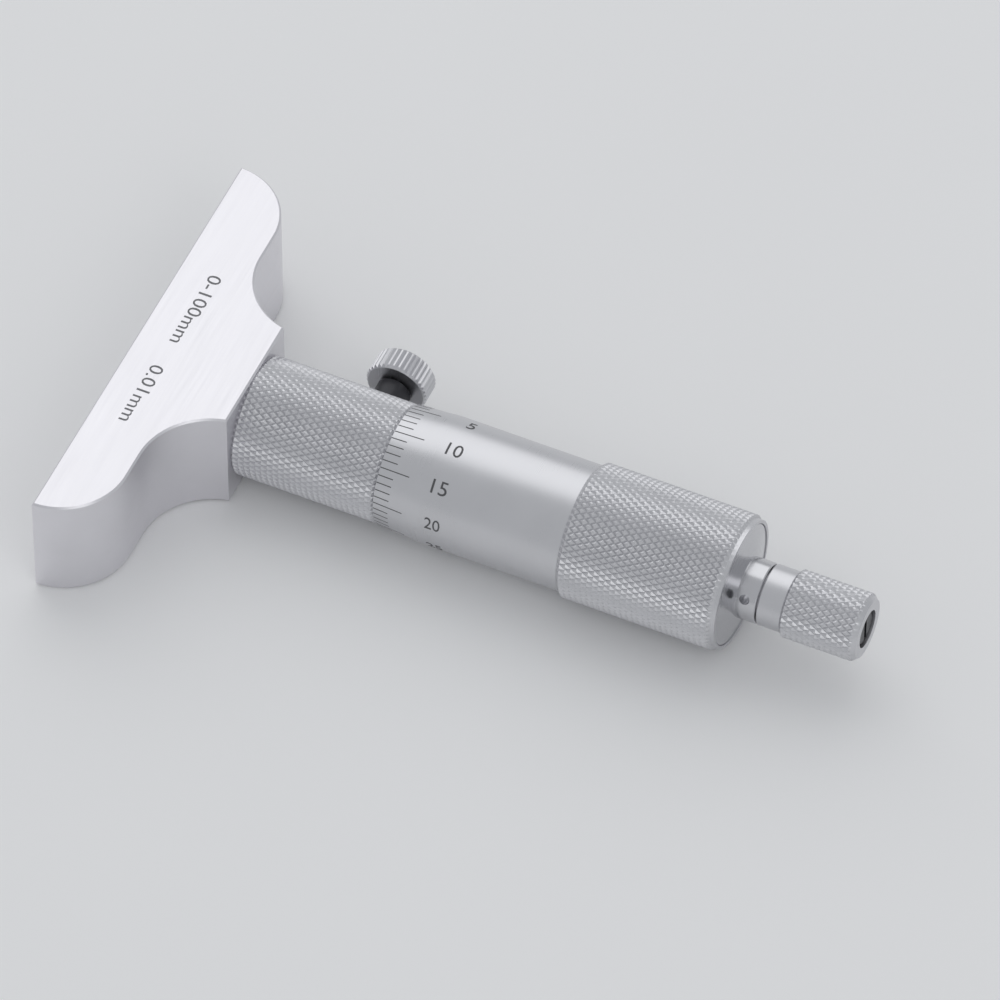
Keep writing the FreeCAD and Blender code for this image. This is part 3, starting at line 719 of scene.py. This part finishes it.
# %% [markdown]
# The sleeve's scale only shows once the thimble is wound back. It reads in reverse, as on every depth
# micrometer, because winding back draws the spindle in and makes the depth smaller. Whole millimetres stand
# on one side of the datum line and half millimetres on the other.

# %% Mark the sleeve
sleeve_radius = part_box("sleeve")[1][2]
sleeve_surface = (thimble_front, sleeve_radius, 0.0)
full_mark = thimble_front + (READING - FULL_TRAVEL) * MM
on_sleeve = {"body": "frame", "surface": sleeve_surface, "zero": DATUM}
add_ruler(
    "sleeve_millimetres",
    marks=FULL_TRAVEL + 1,
    spacing=MM,
    every=5,
    short=1.3 * MM,
    long=2.2 * MM,
    turn=0.0,
    start=(full_mark, 0.0),
    **on_sleeve,
)
add_ruler(
    "sleeve_halves",
    marks=FULL_TRAVEL,
    spacing=-MM,
    every=FULL_TRAVEL,
    short=1.1 * MM,
    long=1.1 * MM,
    turn=math.pi,
    start=(full_mark + 0.5 * MM, 0.0),
    **on_sleeve,
)
add_ruler(
    "sleeve_datum",
    marks=1,
    spacing=MM,
    every=1,
    short=MM,
    long=(FULL_TRAVEL + 0.2) * MM,
    turn=-math.pi / 2,
    start=(thimble_front, 0.0),
    **on_sleeve,
)

# %% [markdown]
# ## Figures
#
# Figures are Blender text, made a mesh while they are still flat. Each one is stretched to the height of the
# real engraving and laid in place. The thimble's figures then go through the wrapping tree, which
# cuts their faces finely enough to follow the curve.


# %% Flat lettering
LETTER_DEPTH = 0.05 * MM


def flat_text(words, height, width, place, turn=0.0):
    """A mesh of lettering, centred on place in all three directions."""
    curve = bpy.data.curves.new("lettering", "FONT")
    curve.body = words
    curve.align_x = "CENTER"
    curve.resolution_u = 3
    curve.extrude = 0.5
    text = bpy.data.objects.new("lettering", curve)
    bpy.context.collection.objects.link(text)
    mesh = bpy.data.meshes.new_from_object(text.evaluated_get(bpy.context.evaluated_depsgraph_get()))
    bpy.data.objects.remove(text)
    low = [min(v.co[i] for v in mesh.vertices) for i in range(3)]
    high = [max(v.co[i] for v in mesh.vertices) for i in range(3)]
    scale = [size / (high[i] - low[i]) for i, size in enumerate((width, height, LETTER_DEPTH))]
    for vertex in mesh.vertices:
        x, y, z = ((vertex.co[i] - (low[i] + high[i]) / 2) * scale[i] for i in range(3))
        turned_x = x * math.cos(turn) - y * math.sin(turn)
        turned_y = x * math.sin(turn) + y * math.cos(turn)
        vertex.co = (place[0] + turned_x, place[1] + turned_y, place[2] + z)
    return mesh


def joined(name, meshes):
    """One mesh from several."""
    shape = bmesh.new()
    for mesh in meshes:
        shape.from_mesh(mesh)
    bmesh.ops.remove_doubles(shape, verts=shape.verts, dist=0.0000001)
    whole = bpy.data.meshes.new(name)
    shape.to_mesh(whole)
    shape.free()
    return whole


# %% Number the thimble
FIGURE_HEIGHT = 1.9 * MM
FIGURE_WIDTH = 1.1 * MM
FIGURE_STATION = 46.25 * MM

figures = [
    flat_text(
        str(number),
        FIGURE_HEIGHT,
        FIGURE_WIDTH * len(str(number)),
        (FIGURE_STATION, -number * division * plain_radius, 0),
    )
    for number in range(0, DIVISIONS, 5)
]
thimble_figures = run_tree(
    "thimble_figures",
    joined("figures", figures),
    wrap_tree,
    {"Radius": plain_radius, "Zero": zero_angle, "Cuts": 2, "Finish": scale_lacquer},
)
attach(thimble_figures, "thimble")
print("thimble figures:", len(figures))

# %% Number the sleeve
NUMBER_HEIGHT = 1.3 * MM
NUMBER_WIDTH = 0.75 * MM
ABOVE_DATUM = 3.2 * MM

sleeve_numbers = [
    flat_text(
        str(number),
        NUMBER_HEIGHT,
        NUMBER_WIDTH * len(str(number)),
        (full_mark + (FULL_TRAVEL - number) * MM, ABOVE_DATUM, 0),
    )
    for number in range(0, FULL_TRAVEL + 1, 5)
]
sleeve_figures = run_tree(
    "sleeve_figures",
    joined("sleeve_numbers", sleeve_numbers),
    wrap_tree,
    {"Radius": sleeve_radius, "Zero": DATUM, "Cuts": 2, "Finish": scale_lacquer},
)
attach(sleeve_figures, "frame")
print("sleeve figures:", len(sleeve_numbers))

# %% [markdown]
# The measuring range and the value of one division are cut into the base's flat side. They read from one end
# of the base towards the other, with their tops towards the barrel.

# %% Engrave the base
LETTERS_PROUD = 0.012 * MM
LETTERS_HEIGHT = 1.9 * MM
INSCRIPTION = (
    ("0-100mm", 12.5 * MM, (5.2 * MM, 6.8 * MM)),
    ("0.01mm", 10.25 * MM, (4.9 * MM, -9.1 * MM)),
)
letter_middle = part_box("base")[1][2] + LETTERS_PROUD - LETTER_DEPTH / 2
lines = [
    flat_text(words, LETTERS_HEIGHT, width, (x, y, letter_middle), turn=-math.pi / 2)
    for words, width, (x, y) in INSCRIPTION
]
inscription_mesh = joined("base_inscription", lines)
inscription_mesh.materials.append(base_lacquer)
inscription = finish_mesh("base_inscription", inscription_mesh)
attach(inscription, "frame")
print("inscription lines:", len(lines))

# %% [markdown]
# ## Floor and light
#
# The micrometer lies on its base's edge and the thimble's grip, so the floor leans by less than a degree to
# touch both. One large soft lamp overhead and behind gives the metal its broad highlight, and a smaller one
# keeps the near faces readable.

# %% Floor
base_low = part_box("base")[0]
grip_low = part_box("thimble")[0]
grip_start = min(x for x, r in thimble_outline if abs(r + grip_low[2]) < TOUCHING)
lean = math.atan2(base_low[2] - grip_low[2], grip_start - base_low[0])

floor_paint = bpy.data.materials.new("floor_paint")
floor_paint.use_nodes = True
paint_tree = floor_paint.node_tree
mottle = place_group(paint_tree, film_group, Size=0.05)
tint = add_node(paint_tree, "ShaderNodeMix", {"Factor": mottle}, data_type="RGBA")
tint.inputs["A"].default_value = (0.90, 0.90, 0.90, 1)
tint.inputs["B"].default_value = (0.92, 0.92, 0.92, 1)
paint_tree.links.new(tint.outputs["Result"], paint_tree.nodes["Principled BSDF"].inputs["Base Color"])
paint_tree.nodes["Principled BSDF"].inputs["Roughness"].default_value = 0.9

floor_mesh = bpy.data.meshes.new("floor")
floor_mesh.from_pydata([(-2, -2, 0), (2, -2, 0), (2, 2, 0), (-2, 2, 0)], [], [(0, 1, 2, 3)])
floor_mesh.materials.append(floor_paint)
floor = bpy.data.objects.new("floor", floor_mesh)
floor.location = (base_low[0], 0, base_low[2])
floor.rotation_euler = (0, lean, 0)
bpy.context.collection.objects.link(floor)
print("floor leans by", round(math.degrees(lean), 2), "degrees")


# %% Lamps and sky
def add_lamp(name, place, size, power):
    """A square soft lamp aimed at the middle of the part."""
    data = bpy.data.lights.new(name, "AREA")
    data.size = size
    data.energy = power
    lamp = bpy.data.objects.new(name, data)
    lamp.location = place
    lamp.rotation_euler = (middle - Vector(place)).to_track_quat("-Z", "Y").to_euler()
    bpy.context.collection.objects.link(lamp)


add_lamp("overhead", (-0.35, 0.6, 0.85), 1.2, 3.0)
add_lamp("near_side", (0.6, -0.5, 0.7), 0.5, 0.7)

world = bpy.data.worlds.new("sky")
world.use_nodes = True
world.node_tree.nodes["Background"].inputs["Color"].default_value = (0.9, 0.92, 0.95, 1)
world.node_tree.nodes["Background"].inputs["Strength"].default_value = 0.6
bpy.context.scene.world = world
bpy.context.scene.view_settings.view_transform = "Standard"
